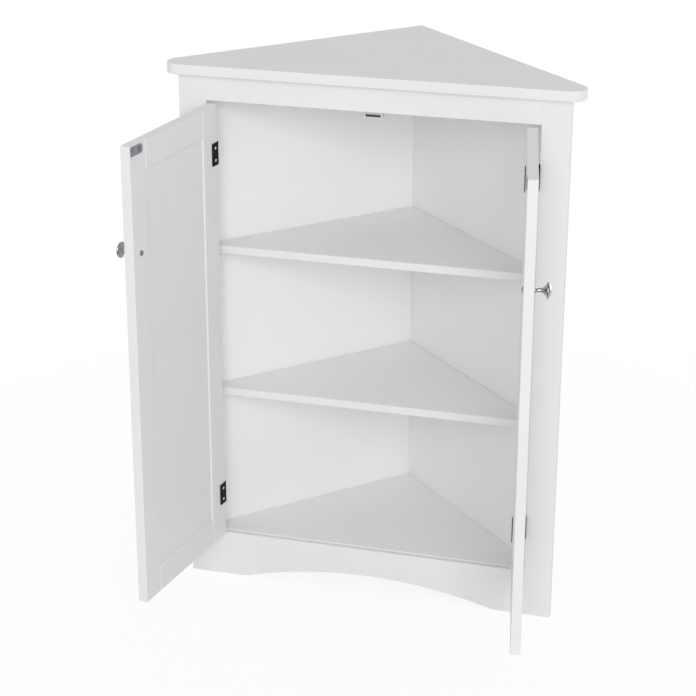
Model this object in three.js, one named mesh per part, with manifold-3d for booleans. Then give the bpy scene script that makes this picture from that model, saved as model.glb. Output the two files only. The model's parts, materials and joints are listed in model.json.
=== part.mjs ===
// A white corner cupboard: a three-cornered carcass with two framed doors that stand open.
// Millimetres, X to the right, Y towards the room's corner, Z up.
import * as THREE from 'three';
import { mergeVertices } from 'three/addons/utils/BufferGeometryUtils.js';
import Module from 'manifold-3d';

// Whole cupboard
const overallHeight = 800;
const faceWidth = 554;

// Top board
const topThickness = 15;
const topFrontOverhang = 12.4;
const topWallOverhang = 16.2;
const topCornerRadius = 21;
const topApexRadius = 3;
const topArris = 1.2;

// Face frame
const frameThickness = 15;
const stileWidth = 40;
const stileEdgeDepth = 12.7;
const topRailHeight = 37;
const bottomRailTop = 71.5;
const archFoot = 44;
const archRise = 28;
const archEase = 9;

// Side panels, floor and shelves
const panelThickness = 15;
const floorThickness = 12;
const floorStep = 1.5;
const floorSetback = 7.6;
const shelfThickness = 12;
const shelfSetback = 16;
const lowerBayHeight = 219.5;
const middleBayHeight = 211.5;

// Shelf pins
const pinDiameter = 5;
const pinLength = 17;
const pinDepth = 8.5;
const pinFromCorner = 95;
const pinFromFrame = 70;

// Doors
const doorThickness = 14;
const doorTopGap = 3;
const doorFloorGap = 1.5;
const hingeGap = 3;
const meetingGap = 3;
const openAngle = THREE.MathUtils.degToRad(100.2);
const doorStileWidth = 40;
const doorRailHeight = 40;
const doorPanelThickness = 6;
const doorPanelRecess = 2.5;
const doorGrooveDepth = 6;
const doorPanelFloat = 0.5;
const doorArris = 0.8;

// Hinges
const hingeHeight = 33;
const hingeFromEnd = 70;
const leafThickness = 1;
const frameLeafDepth = 11.5;
const wrapLeafWidth = 17.8;
const barrelRadius = 2.6;
const barrelBore = 1.6;
const hingePinRadius = 1.3;
const hingePinCapRadius = 2.4;
const hingePinCapHeight = 2.6;
const hingeScrewHole = 1.7;
const hingeScrewSpacing = 17.8;
const bendRadius = 0.3;
const knuckleCount = 5;
const leafRootShare = 0.45;
const hingePinCapShare = 0.5;

// Knobs and their screws
const knobProjection = 22;
const knobHeadRadius = 11.2;
const knobRimStart = 16.5;
const knobRimHeight = 0.7;
const knobStemRadius = 2.7;
const knobFlangeRadius = 4.7;
const knobFlangeHeight = 1.1;
const knobFlareStart = 7.3;
const knobBelowDoorTop = 151.5;
const knobBoreDepth = 10;
const knobScrewRadius = 2;
const knobScrewGrip = 8;
const knobScrewHeadRadius = 4;
const knobScrewHeadHeight = 2.2;

// Strike plates and their screws
const strikeLength = 28.5;
const strikeHeight = 12.8;
const strikeThickness = 1;
const strikeFromEdge = 2.5;
const strikeBelowDoorTop = 1.4;
const strikeCornerRadius = 5;
const strikeScrewFromEnd = 8;
const strikeScrewRadius = 1.5;
const strikeScrewHeadRadius = 3;
const strikeScrewHeadHeight = 1.4;
const strikeScrewDepth = 9;

// Magnetic catch
const catchWidth = 26;
const catchDepth = 11;
const catchSetback = 0.6;
const catchBelowRail = 12.8;
const catchLipHeight = 6.8;
const catchLipStep = 0.8;
const catchTabHeight = 22;
const catchTabThickness = 4;
const catchWall = 1;
const poleThickness = 0.8;
const poleWidth = 21;
const magnetHeight = 1.8;
const magnetDepth = 7;
const catchScrewSpacing = 14;
const catchScrewRadius = 1.5;
const catchScrewHeadRadius = 3;
const catchScrewHeadHeight = 1.6;
const catchScrewDepth = 9;

// Screw heads
const screwCrownShare = 0.7;

// Clearances and cuts
const seat = 0.3;
const shelfClearance = 0.5;
const overrun = 1;

// Counts of facets
const roundFacets = 16;
const knobFacets = 32;
const flareSteps = 7;
const domeSteps = 5;
const arcSteps = 24;

// Heights that follow from the sizes above
const topUnderside = overallHeight - topThickness;
const openingTop = topUnderside - topRailHeight;
const floorTop = bottomRailTop + floorStep;
const floorUnderside = floorTop - floorThickness;
const lowerShelfUnderside = floorTop + lowerBayHeight;
const upperShelfUnderside = lowerShelfUnderside + shelfThickness + middleBayHeight;
const doorBottom = floorTop + doorFloorGap;
const doorTop = openingTop - doorTopGap;

// Plan places that follow from the sizes above
const halfFace = faceWidth / 2;
const halfOpening = halfFace - stileWidth;
const archHalfSpan = halfOpening - archFoot;
const outerCornerDepth = halfFace + stileEdgeDepth;
const innerCornerDepth = outerCornerDepth - panelThickness * Math.SQRT2;
const topApexDepth = outerCornerDepth + topWallOverhang * Math.SQRT2;
const pinX = halfOpening - hingeGap / 2;
const pinStandoff = barrelRadius + seat;
const doorHingeEdge = hingeGap / 2;
const doorFreeEdge = pinX - meetingGap / 2;
const doorFront = pinStandoff;
const doorBack = pinStandoff + doorThickness;
const knobAlong = doorFreeEdge - doorStileWidth / 2;
const knobHeight = doorTop - knobBelowDoorTop;

const wasm = await Module();
wasm.setup();

// Finishes seen in the photograph
const enamel = { color: 0xf1f1f3, roughness: 0.42, metalness: 0 };
const hingeBlack = { color: 0x161617, roughness: 0.45, metalness: 0.6 };
const chrome = { color: 0xd9dadd, roughness: 0.08, metalness: 1 };
const zinc = { color: 0x9b9ca0, roughness: 0.35, metalness: 1 };
const whitePlastic = { color: 0xededee, roughness: 0.5, metalness: 0 };
const ferrite = { color: 0x26262a, roughness: 0.7, metalness: 0.2 };

// Adds one named mesh with its own material to a group.
function add(group, name, geometry, finish) {
  const mesh = new THREE.Mesh(geometry, new THREE.MeshStandardMaterial(finish));
  mesh.name = name;
  group.add(mesh);
  return mesh;
}

// A box between two corners, given in any order.
function block(x0, x1, y0, y1, z0, z1) {
  const geometry = new THREE.BoxGeometry(Math.abs(x1 - x0), Math.abs(y1 - y0), Math.abs(z1 - z0));
  return geometry.translate((x0 + x1) / 2, (y0 + y1) / 2, (z0 + z1) / 2);
}

// An outline through the points, with each corner rounded by the radius beside it.
function roundedOutline(corners) {
  const shape = new THREE.Shape();
  corners.forEach(({ at, radius }, i) => {
    const before = corners[(i + corners.length - 1) % corners.length].at;
    const after = corners[(i + 1) % corners.length].at;
    const inward = before.clone().sub(at).normalize();
    const outward = after.clone().sub(at).normalize();
    const halfAngle = Math.acos(THREE.MathUtils.clamp(inward.dot(outward), -1, 1)) / 2;
    const setback = radius / Math.tan(halfAngle);
    const start = at.clone().addScaledVector(inward, setback);
    const end = at.clone().addScaledVector(outward, setback);
    const bisector = inward.clone().add(outward).normalize();
    const centre = at.clone().addScaledVector(bisector, radius / Math.sin(halfAngle));
    if (i === 0) shape.moveTo(start.x, start.y);
    else shape.lineTo(start.x, start.y);
    if (radius > 0) {
      const from = Math.atan2(start.y - centre.y, start.x - centre.x);
      const to = Math.atan2(end.y - centre.y, end.x - centre.x);
      const clockwise = inward.cross(outward) > 0;
      shape.absarc(centre.x, centre.y, radius, from, to, clockwise);
    }
  });
  shape.closePath();
  return shape;
}

// A sharp-cornered outline through pairs of numbers.
function outline(points) {
  return new THREE.Shape(points.map(([x, y]) => new THREE.Vector2(x, y)));
}

// An outline made thick, with square edges.
function thicken(shape, depth, curveSegments) {
  return new THREE.ExtrudeGeometry(shape, { depth, bevelEnabled: false, curveSegments });
}

// A plan outline raised from one height to another.
function raise(shape, bottom, top, curveSegments = arcSteps) {
  return thicken(shape, top - bottom, curveSegments).translate(0, 0, bottom);
}

// A front outline, X by Z, carried from the front depth to the back depth.
function carryBack(shape, front, back, curveSegments = arcSteps) {
  return thicken(shape, back - front, curveSegments).rotateX(Math.PI / 2).translate(0, back, 0);
}

// A side outline, Y by Z, carried across from the left to the right.
function carryAcross(shape, left, right) {
  const geometry = thicken(shape, right - left, arcSteps);
  return geometry.rotateX(Math.PI / 2).rotateZ(Math.PI / 2).translate(left, 0, 0);
}

// A turned solid about the Y axis, from a profile of radius and height that starts and ends on the axis.
function turn(profile, facets) {
  return new THREE.LatheGeometry(profile.map(([r, h]) => new THREE.Vector2(r, h)), facets);
}

// A closed mesh as a solid for joining and cutting.
function solid(geometry) {
  const bare = geometry.clone();
  bare.deleteAttribute('normal');
  bare.deleteAttribute('uv');
  const merged = mergeVertices(bare);
  const mesh = new wasm.Mesh({
    numProp: 3,
    vertProperties: new Float32Array(merged.attributes.position.array),
    triVerts: new Uint32Array(merged.index.array),
  });
  return new wasm.Manifold(mesh);
}

// A joined or cut solid as a three.js geometry.
function surface(manifold) {
  const { vertProperties, triVerts } = manifold.getMesh();
  const geometry = new THREE.BufferGeometry();
  geometry.setAttribute('position', new THREE.BufferAttribute(new Float32Array(vertProperties), 3));
  geometry.setIndex(new THREE.BufferAttribute(new Uint32Array(triVerts), 1));
  geometry.computeVertexNormals();
  return geometry;
}

// The first geometry with the tools taken out of it.
function cut(geometry, ...tools) {
  return surface(tools.reduce((rest, tool) => rest.subtract(solid(tool)), solid(geometry)));
}

// All the geometries as one.
function join(...pieces) {
  return surface(pieces.map(solid).reduce((whole, piece) => whole.add(piece)));
}

// A rod along Y between two depths, at a place in X and Z.
function rodAlongY(radius, x, z, y0, y1) {
  return new THREE.CylinderGeometry(radius, radius, y1 - y0, roundFacets).translate(x, (y0 + y1) / 2, z);
}

// Top board: a right-angled triangle with round front corners and eased edges.
function topBoard() {
  const frontCorner = topApexDepth + topFrontOverhang;
  const shape = roundedOutline([
    { at: new THREE.Vector2(-frontCorner, -topFrontOverhang), radius: topCornerRadius },
    { at: new THREE.Vector2(frontCorner, -topFrontOverhang), radius: topCornerRadius },
    { at: new THREE.Vector2(0, topApexDepth), radius: topApexRadius },
  ]);
  const geometry = new THREE.ExtrudeGeometry(shape, {
    depth: topThickness - 2 * topArris,
    bevelThickness: topArris,
    bevelSize: topArris,
    bevelOffset: -topArris,
    bevelSegments: 2,
    curveSegments: arcSteps / 2,
  });
  return geometry.translate(0, 0, topUnderside + topArris);
}

// Side panel: reaches from the back of its stile to the room's corner; one of the two runs past the other.
function sidePanel(side) {
  const frontOuter = outerCornerDepth - frameThickness;
  const frontInner = innerCornerDepth - frameThickness;
  const lap = panelThickness / Math.SQRT2;
  const play = seat / Math.SQRT2;
  const tail = side > 0
    ? [[0, outerCornerDepth], [-lap, outerCornerDepth - lap]]
    : [[-lap - play, innerCornerDepth + lap - play], [-play, innerCornerDepth - play]];
  const shape = outline([
    [side * frontInner, frameThickness],
    [side * frontOuter, frameThickness],
    ...tail,
  ]);
  const holeRadius = pinDiameter / 2 + seat;
  const holes = pinPlaces(side).map((place) => {
    const rod = new THREE.CylinderGeometry(holeRadius, holeRadius, pinLength + 2 * seat, roundFacets);
    return rod.rotateZ(place.turn).translate(place.x, place.y, place.z);
  });
  return cut(raise(shape, 0, topUnderside), ...holes);
}

// Centres of the shelf pins in one side panel, with their turn about Z.
function pinPlaces(side) {
  const frameEnd = (innerCornerDepth - frameThickness) * Math.SQRT2;
  const inset = pinLength / 2 - pinDepth;
  const along = [pinFromCorner, frameEnd - pinFromFrame];
  const heights = [lowerShelfUnderside, upperShelfUnderside];
  return heights.flatMap((underside) => along.map((distance) => ({
    x: side * (distance - inset) / Math.SQRT2,
    y: innerCornerDepth - (distance + inset) / Math.SQRT2,
    z: underside - seat - pinDiameter / 2,
    turn: -side * Math.PI / 4,
  })));
}

// Face-frame stile: its back outer corner is bevelled to the side panel's outer face.
function faceStile(side) {
  const bevel = frameThickness - stileEdgeDepth;
  return raise(outline([
    [side * halfOpening, 0],
    [side * halfFace, 0],
    [side * halfFace, stileEdgeDepth],
    [side * (halfFace - bevel), frameThickness],
    [side * halfOpening, frameThickness],
  ]), 0, topUnderside);
}

// Bottom rail: its lower edge rises in a flat arch, and a rebate behind its top carries the floor.
function bottomRail() {
  const radius = (archHalfSpan ** 2 + archRise ** 2) / (2 * archRise);
  const centre = archRise - radius;
  const reach = Math.asin((archHalfSpan - archEase) / radius);
  const easeX = radius * Math.sin(reach);
  const easeZ = centre + radius * Math.cos(reach);
  const shape = new THREE.Shape();
  shape.moveTo(-halfOpening, 0);
  shape.lineTo(-archHalfSpan - archEase, 0);
  shape.quadraticCurveTo(-archHalfSpan, 0, -easeX, easeZ);
  shape.absarc(0, centre, radius, Math.PI / 2 + reach, Math.PI / 2 - reach, true);
  shape.quadraticCurveTo(archHalfSpan, 0, archHalfSpan + archEase, 0);
  shape.lineTo(halfOpening, 0);
  shape.lineTo(halfOpening, bottomRailTop);
  shape.lineTo(-halfOpening, bottomRailTop);
  shape.closePath();
  const rail = carryBack(shape, 0, frameThickness);
  const rebate = block(
    -halfOpening - overrun, halfOpening + overrun,
    floorSetback - seat, frameThickness + overrun,
    floorUnderside, bottomRailTop + overrun,
  );
  return cut(rail, rebate);
}

// Top rail: with two blind holes behind for the catch's screws.
function topRail() {
  const rail = block(-halfOpening, halfOpening, 0, frameThickness, openingTop, topUnderside);
  const holes = [-1, 1].map((side) => rodAlongY(
    catchScrewRadius + seat, side * catchScrewSpacing / 2, catchScrewHeight(),
    frameThickness - catchScrewDepth - seat, frameThickness + overrun,
  ));
  return cut(rail, ...holes);
}

// Floor: sits in the bottom rail's rebate, with a notch round each stile.
function floorBoard() {
  const front = halfOpening - seat;
  const behindFrame = frameThickness + seat;
  const wide = innerCornerDepth - behindFrame - seat * Math.SQRT2;
  return raise(outline([
    [-front, floorSetback],
    [front, floorSetback],
    [front, behindFrame],
    [wide, behindFrame],
    [0, innerCornerDepth - seat * Math.SQRT2],
    [-wide, behindFrame],
    [-front, behindFrame],
  ]), floorUnderside, floorTop);
}

// Shelf: a right-angled triangle that lies on four pins.
function shelf(underside) {
  const depth = innerCornerDepth - shelfClearance * Math.SQRT2;
  return raise(outline([
    [-(depth - shelfSetback), shelfSetback],
    [depth - shelfSetback, shelfSetback],
    [0, depth],
  ]), underside, underside + shelfThickness);
}

// A door stile's plan outline: eased arrises and a groove for the panel and the rails' tongues.
function doorStile(side, edge, inwards, drillings) {
  const faceEnd = edge + inwards * doorStileWidth;
  const groove = faceEnd - inwards * doorGrooveDepth;
  const ease = inwards * doorArris;
  const near = grooveFront();
  const far = grooveBack();
  const points = [
    [edge + ease, doorFront], [faceEnd - ease, doorFront], [faceEnd, doorFront + doorArris],
    [faceEnd, near], [groove, near], [groove, far], [faceEnd, far],
    [faceEnd, doorBack - doorArris], [faceEnd - ease, doorBack], [edge + ease, doorBack],
    [edge, doorBack - doorArris], [edge, doorFront + doorArris],
  ].map(([u, w]) => [-side * u, w]);
  const stile = raise(outline(points), doorBottom, doorTop);
  return drillings.length > 0 ? cut(stile, ...drillings) : stile;
}

// Depth of the groove's front wall from the pin.
function grooveFront() {
  return grooveBack() - doorPanelThickness - 2 * seat;
}

// Depth of the groove's back wall from the pin.
function grooveBack() {
  return doorBack - doorPanelRecess + seat;
}

// A door rail between the stiles, grooved along one edge and tongued at both ends.
function doorRail(side, outerEdge, inwards) {
  const innerEdge = outerEdge + inwards * doorRailHeight;
  const left = doorHingeEdge + doorStileWidth + seat;
  const right = doorFreeEdge - doorStileWidth - seat;
  const tongue = doorGrooveDepth - doorPanelFloat + seat;
  const ease = inwards * doorArris;
  const profile = outline([
    [doorFront, outerEdge], [doorBack, outerEdge],
    [doorBack, innerEdge - ease], [doorBack - doorArris, innerEdge],
    [doorFront + doorArris, innerEdge], [doorFront, innerEdge - ease],
  ]);
  const [x0, x1] = [-side * left, -side * right].sort((a, b) => a - b);
  const body = carryAcross(profile, x0, x1);
  const tongues = block(
    x0 - tongue, x1 + tongue,
    grooveFront() + seat, grooveBack() - seat,
    outerEdge, innerEdge - ease,
  );
  const groove = block(
    x0 - tongue - overrun, x1 + tongue + overrun,
    grooveFront(), grooveBack(),
    innerEdge - inwards * doorGrooveDepth, innerEdge + inwards * overrun,
  );
  return cut(join(body, tongues), groove);
}

// A door panel that floats in the grooves of its frame.
function doorPanel(side) {
  const hold = doorGrooveDepth - doorPanelFloat;
  return block(
    -side * (doorHingeEdge + doorStileWidth - hold), -side * (doorFreeEdge - doorStileWidth + hold),
    grooveFront() + seat, grooveBack() - seat,
    doorBottom + doorRailHeight - hold, doorTop - doorRailHeight + hold,
  );
}

// Height of one hinge's middle.
function hingeMiddle(upper) {
  return upper ? doorTop - hingeFromEnd : doorBottom + hingeFromEnd;
}

// The height ranges of a hinge's knuckles; even ones belong to the frame leaf.
function knuckles(middle) {
  const length = (hingeHeight - (knuckleCount - 1) * seat) / knuckleCount;
  return Array.from({ length: knuckleCount }, (_, i) => {
    const bottom = middle - hingeHeight / 2 + i * (length + seat);
    return { bottom, top: bottom + length, ofFrame: i % 2 === 0 };
  });
}

// A hinge leaf: a bent plate with its own knuckles, cut clear of the other leaf's.
function hingeLeaf(plate, middle, ofFrame, screwHoles) {
  const own = knuckles(middle).filter((knuckle) => knuckle.ofFrame === ofFrame);
  const others = knuckles(middle).filter((knuckle) => knuckle.ofFrame !== ofFrame);
  const rings = own.map(({ bottom, top }) => {
    const ring = new THREE.Shape().absarc(0, 0, barrelRadius, 0, 2 * Math.PI, false);
    return raise(ring, bottom, top, roundFacets);
  });
  const bores = own.map(({ bottom, top }) => {
    const bore = new THREE.CylinderGeometry(barrelBore, barrelBore, top - bottom + 2 * overrun, roundFacets);
    return bore.rotateX(Math.PI / 2).translate(0, 0, (bottom + top) / 2);
  });
  const clearings = others.map(({ bottom, top }) => {
    const radius = barrelRadius + seat;
    const clearing = new THREE.CylinderGeometry(radius, radius, top - bottom + 2 * seat, roundFacets);
    return clearing.rotateX(Math.PI / 2).translate(0, 0, (bottom + top) / 2);
  });
  const flat = raise(plate, middle - hingeHeight / 2, middle + hingeHeight / 2, roundFacets / 4);
  return cut(join(flat, ...rings), ...bores, ...clearings, ...screwHoles);
}

// The frame's leaf: flat against the stile's inner edge.
function frameLeaf(side, middle) {
  const root = (barrelRadius + barrelBore) * leafRootShare;
  const stileFace = -hingeGap / 2;
  const clear = stileFace + leafThickness;
  const plate = outline([
    [-side * stileFace, root], [-side * clear, root],
    [-side * clear, pinStandoff + frameLeafDepth], [-side * stileFace, pinStandoff + frameLeafDepth],
  ]);
  const holes = [-1, 1].map((way) => {
    const hole = new THREE.CylinderGeometry(hingeScrewHole, hingeScrewHole, hingeGap, roundFacets);
    const depth = pinStandoff + frameLeafDepth / 2;
    return hole.rotateZ(Math.PI / 2).translate(-side * clear, depth, middle + way * hingeScrewSpacing / 2);
  });
  return hingeLeaf(plate, middle, true, holes);
}

// The door's leaf: down the door's edge, then bent round onto its inner face.
function doorLeaf(side, middle) {
  const root = (barrelRadius + barrelBore) * leafRootShare;
  const inner = doorHingeEdge - seat;
  const outer = inner - leafThickness;
  const underside = doorBack + seat;
  const backside = underside + leafThickness;
  const end = outer + wrapLeafWidth;
  const bend = bendRadius + leafThickness;
  const corners = [
    { at: [outer, root], radius: 0 },
    { at: [inner, root], radius: 0 },
    { at: [inner, underside], radius: 0 },
    { at: [end, underside], radius: 0 },
    { at: [end, backside], radius: 0 },
    { at: [outer, backside], radius: bend },
  ].map(({ at, radius }) => ({ at: new THREE.Vector2(-side * at[0], at[1]), radius }));
  const holeAlong = inner + wrapLeafWidth / 2 - leafThickness;
  const holes = [-1, 1].map((way) => rodAlongY(
    hingeScrewHole, -side * holeAlong, middle + way * hingeScrewSpacing / 2,
    doorBack, backside + overrun,
  ));
  return hingeLeaf(roundedOutline(corners), middle, false, holes);
}

// A hinge pin with a small cap at each end.
function hingePin(middle) {
  const reach = hingeHeight / 2 + seat;
  const tip = reach + hingePinCapHeight;
  const shoulder = tip - hingePinCapRadius * hingePinCapShare;
  const crown = hingePinCapRadius * hingePinCapShare;
  return turn([
    [0, -tip], [crown, -tip], [hingePinCapRadius, -shoulder], [hingePinCapRadius, -reach],
    [hingePinRadius, -reach], [hingePinRadius, reach],
    [hingePinCapRadius, reach], [hingePinCapRadius, shoulder], [crown, tip], [0, tip],
  ], roundFacets).rotateX(Math.PI / 2).translate(0, 0, middle);
}

// A knob: flange, slim stem, trumpet flare and domed head, bored for its screw.
function knob() {
  const bore = knobScrewRadius + seat;
  const flare = Array.from({ length: flareSteps + 1 }, (_, i) => {
    const share = i / flareSteps;
    return [
      knobStemRadius + (knobHeadRadius - knobStemRadius) * share ** 2,
      knobFlareStart + (knobRimStart - knobFlareStart) * share,
    ];
  });
  const rim = knobRimStart + knobRimHeight;
  const domeRise = knobProjection - rim;
  const domeRadius = (knobHeadRadius ** 2 + domeRise ** 2) / (2 * domeRise);
  const domeAngle = Math.asin(knobHeadRadius / domeRadius);
  const dome = Array.from({ length: domeSteps + 1 }, (_, i) => {
    const angle = domeAngle * (1 - i / domeSteps);
    return [domeRadius * Math.sin(angle), knobProjection - domeRadius * (1 - Math.cos(angle))];
  });
  dome[domeSteps][0] = 0;
  return turn([
    [0, knobBoreDepth], [bore, knobBoreDepth], [bore, 0],
    [knobFlangeRadius, 0], [knobFlangeRadius, knobFlangeHeight], [knobStemRadius, knobFlangeHeight * 2],
    ...flare, ...dome,
  ], knobFacets);
}

// A screw along Y: its shank from the tip up to the head's seat, then a domed head.
function screw(shankRadius, length, headRadius, headHeight) {
  return turn([
    [0, -length], [shankRadius, -length + shankRadius], [shankRadius, 0],
    [headRadius, 0], [headRadius, headHeight / 2],
    [headRadius * screwCrownShare, headHeight], [0, headHeight],
  ], roundFacets);
}

// A strike plate: square near the door's edge and round at the other end, with one hole.
function strikePlate(side) {
  const near = doorFreeEdge - strikeFromEdge;
  const far = near - strikeLength;
  const top = doorTop - strikeBelowDoorTop;
  const bottom = top - strikeHeight;
  const shape = roundedOutline([
    { at: new THREE.Vector2(-side * near, bottom), radius: 0 },
    { at: new THREE.Vector2(-side * near, top), radius: 0 },
    { at: new THREE.Vector2(-side * far, top), radius: strikeCornerRadius },
    { at: new THREE.Vector2(-side * far, bottom), radius: strikeCornerRadius },
  ]);
  const plate = carryBack(shape, doorBack + seat, doorBack + seat + strikeThickness, roundFacets / 4);
  const hole = rodAlongY(
    strikeScrewRadius + seat, -side * strikeScrewAlong(), strikeScrewHeight(),
    doorBack - overrun, doorBack + strikeThickness + overrun,
  );
  return cut(plate, hole);
}

// Place of the strike plate's screw along the door, from the pin.
function strikeScrewAlong() {
  return doorFreeEdge - strikeFromEdge - strikeLength + strikeScrewFromEnd;
}

// Height of the strike plate's screw.
function strikeScrewHeight() {
  return doorTop - strikeBelowDoorTop - strikeHeight / 2;
}

// Height of the catch's screws.
function catchScrewHeight() {
  return openingTop + catchTabHeight / 2;
}

// Depth of the pole plates' front from the face: just clear of the closed doors' strike plates.
function poleFront() {
  return doorThickness + seat + strikeThickness + seat;
}

// The catch's housing: a block below the rail with a pocket in its front, and a tab up the rail's back.
function catchHousing() {
  const front = poleFront() + catchSetback;
  const back = front + catchDepth;
  const bottom = openingTop - catchBelowRail;
  const profile = outline([
    [front, bottom], [back, bottom], [back, openingTop],
    [frameThickness + catchTabThickness, openingTop + catchTabThickness],
    [frameThickness + catchTabThickness, openingTop + catchTabHeight],
    [frameThickness, openingTop + catchTabHeight],
    [frameThickness, openingTop],
    [front + catchLipStep, openingTop], [front + catchLipStep, bottom + catchLipHeight],
    [front, bottom + catchLipHeight],
  ]);
  const body = carryAcross(profile, -catchWidth / 2, catchWidth / 2);
  const pocket = block(
    -poleWidth / 2 - seat, poleWidth / 2 + seat, front - overrun, poleFront() + magnetDepth + 2 * seat,
    bottom + catchWall, bottom + catchWall + magnetStackHeight(),
  );
  const holes = [-1, 1].map((side) => rodAlongY(
    catchScrewRadius + seat, side * catchScrewSpacing / 2, catchScrewHeight(),
    frameThickness - overrun, frameThickness + catchTabThickness + overrun,
  ));
  return cut(body, pocket, ...holes);
}

// Height of the pocket that holds two pole plates with the magnet between them.
function magnetStackHeight() {
  return magnetHeight + 2 * poleThickness + 4 * seat;
}

// Bottom of the magnet in the catch.
function magnetBottom() {
  return openingTop - catchBelowRail + catchWall + poleThickness + 2 * seat;
}

const cupboard = new THREE.Group();
const carcass = new THREE.Group();
cupboard.add(carcass);

add(carcass, 'top_board', topBoard(), enamel);
add(carcass, 'left_side_panel', sidePanel(-1), enamel);
add(carcass, 'right_side_panel', sidePanel(1), enamel);
add(carcass, 'left_stile', faceStile(-1), enamel);
add(carcass, 'right_stile', faceStile(1), enamel);
add(carcass, 'top_rail', topRail(), enamel);
add(carcass, 'bottom_rail', bottomRail(), enamel);
add(carcass, 'floor_board', floorBoard(), enamel);
add(carcass, 'lower_shelf', shelf(lowerShelfUnderside), enamel);
add(carcass, 'upper_shelf', shelf(upperShelfUnderside), enamel);

for (const [sideName, side] of [['left', -1], ['right', 1]]) {
  pinPlaces(side).forEach((place, i) => {
    const rod = new THREE.CylinderGeometry(pinDiameter / 2, pinDiameter / 2, pinLength, roundFacets);
    const pin = add(carcass, `shelf_pin_${sideName}_${i + 1}`, rod, zinc);
    pin.position.set(place.x, place.y, place.z);
    pin.rotation.z = place.turn;
  });
}

add(carcass, 'catch_housing', catchHousing(), whitePlastic);
const magnet = block(
  -poleWidth / 2, poleWidth / 2, poleFront() + catchSetback / 2, poleFront() + magnetDepth,
  magnetBottom(), magnetBottom() + magnetHeight,
);
add(carcass, 'catch_magnet', magnet, ferrite);
for (const [poleName, bottom] of [
  ['lower', magnetBottom() - seat - poleThickness],
  ['upper', magnetBottom() + magnetHeight + seat],
]) {
  const pole = block(
    -poleWidth / 2, poleWidth / 2, poleFront(), poleFront() + magnetDepth, bottom, bottom + poleThickness,
  );
  add(carcass, `catch_pole_${poleName}`, pole, zinc);
}
for (const [sideName, side] of [['left', -1], ['right', 1]]) {
  const length = catchTabThickness + seat + catchScrewDepth;
  const geometry = screw(catchScrewRadius, length, catchScrewHeadRadius, catchScrewHeadHeight);
  const catchScrew = add(carcass, `catch_screw_${sideName}`, geometry, zinc);
  const headSeat = frameThickness + catchTabThickness + seat;
  catchScrew.position.set(side * catchScrewSpacing / 2, headSeat, catchScrewHeight());
}

for (const [sideName, side] of [['left', -1], ['right', 1]]) {
  const jamb = new THREE.Group();
  jamb.position.set(side * pinX, -pinStandoff, 0);
  carcass.add(jamb);
  const door = new THREE.Group();
  door.position.copy(jamb.position);
  door.rotation.z = side * openAngle;
  cupboard.add(door);

  const knobBore = rodAlongY(
    knobScrewRadius + seat, -side * knobAlong, knobHeight, doorFront - overrun, doorBack + overrun,
  );
  const strikeBore = rodAlongY(
    strikeScrewRadius + seat, -side * strikeScrewAlong(), strikeScrewHeight(),
    doorBack - strikeScrewDepth - seat, doorBack + overrun,
  );
  add(door, `${sideName}_door_hinge_stile`, doorStile(side, doorHingeEdge, 1, []), enamel);
  const meetingStile = doorStile(side, doorFreeEdge, -1, [knobBore, strikeBore]);
  add(door, `${sideName}_door_meeting_stile`, meetingStile, enamel);
  add(door, `${sideName}_door_top_rail`, doorRail(side, doorTop, -1), enamel);
  add(door, `${sideName}_door_bottom_rail`, doorRail(side, doorBottom, 1), enamel);
  add(door, `${sideName}_door_panel`, doorPanel(side), enamel);

  for (const [levelName, upper] of [['upper', true], ['lower', false]]) {
    const middle = hingeMiddle(upper);
    add(jamb, `${sideName}_${levelName}_hinge_frame_leaf`, frameLeaf(side, middle), hingeBlack);
    add(jamb, `${sideName}_${levelName}_hinge_pin`, hingePin(middle), hingeBlack);
    add(door, `${sideName}_${levelName}_hinge_door_leaf`, doorLeaf(side, middle), hingeBlack);
  }

  const pull = add(door, `${sideName}_knob`, knob(), chrome);
  pull.position.set(-side * knobAlong, doorFront - seat, knobHeight);
  pull.rotation.x = Math.PI;
  const knobScrewLength = doorThickness + 2 * seat + knobScrewGrip;
  const knobFixing = [knobScrewRadius, knobScrewLength, knobScrewHeadRadius, knobScrewHeadHeight];
  const knobScrew = add(door, `${sideName}_knob_screw`, screw(...knobFixing), zinc);
  knobScrew.position.set(-side * knobAlong, doorBack + seat, knobHeight);

  add(door, `${sideName}_strike_plate`, strikePlate(side), zinc);
  const strikeHeadSeat = doorBack + strikeThickness + 2 * seat;
  const strikeScrewLength = strikeHeadSeat - doorBack + strikeScrewDepth;
  const strikeFixing = [strikeScrewRadius, strikeScrewLength, strikeScrewHeadRadius, strikeScrewHeadHeight];
  const strikeScrew = add(door, `${sideName}_strike_screw`, screw(...strikeFixing), zinc);
  strikeScrew.position.set(-side * strikeScrewAlong(), strikeHeadSeat, strikeScrewHeight());
}

// The origin lies on the floor under the middle of the cupboard's box, doors open.
const doorCorner = doorFreeEdge * Math.sin(openAngle) - (doorBack - doorArris) * Math.cos(openAngle);
const frontReach = -pinStandoff - doorCorner;
const backReach = topApexDepth - topApexRadius * (Math.SQRT2 - 1);
cupboard.position.y = -(backReach + frontReach) / 2;

export default cupboard;
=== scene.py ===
"""A white corner cupboard with open doors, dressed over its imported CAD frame."""
import json
import logging
import math
from collections.abc import Callable, Iterable, Sequence
from dataclasses import dataclass, field, fields
from enum import Enum
from typing import Any, ClassVar

import bpy
from mathutils import Matrix, Vector

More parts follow.
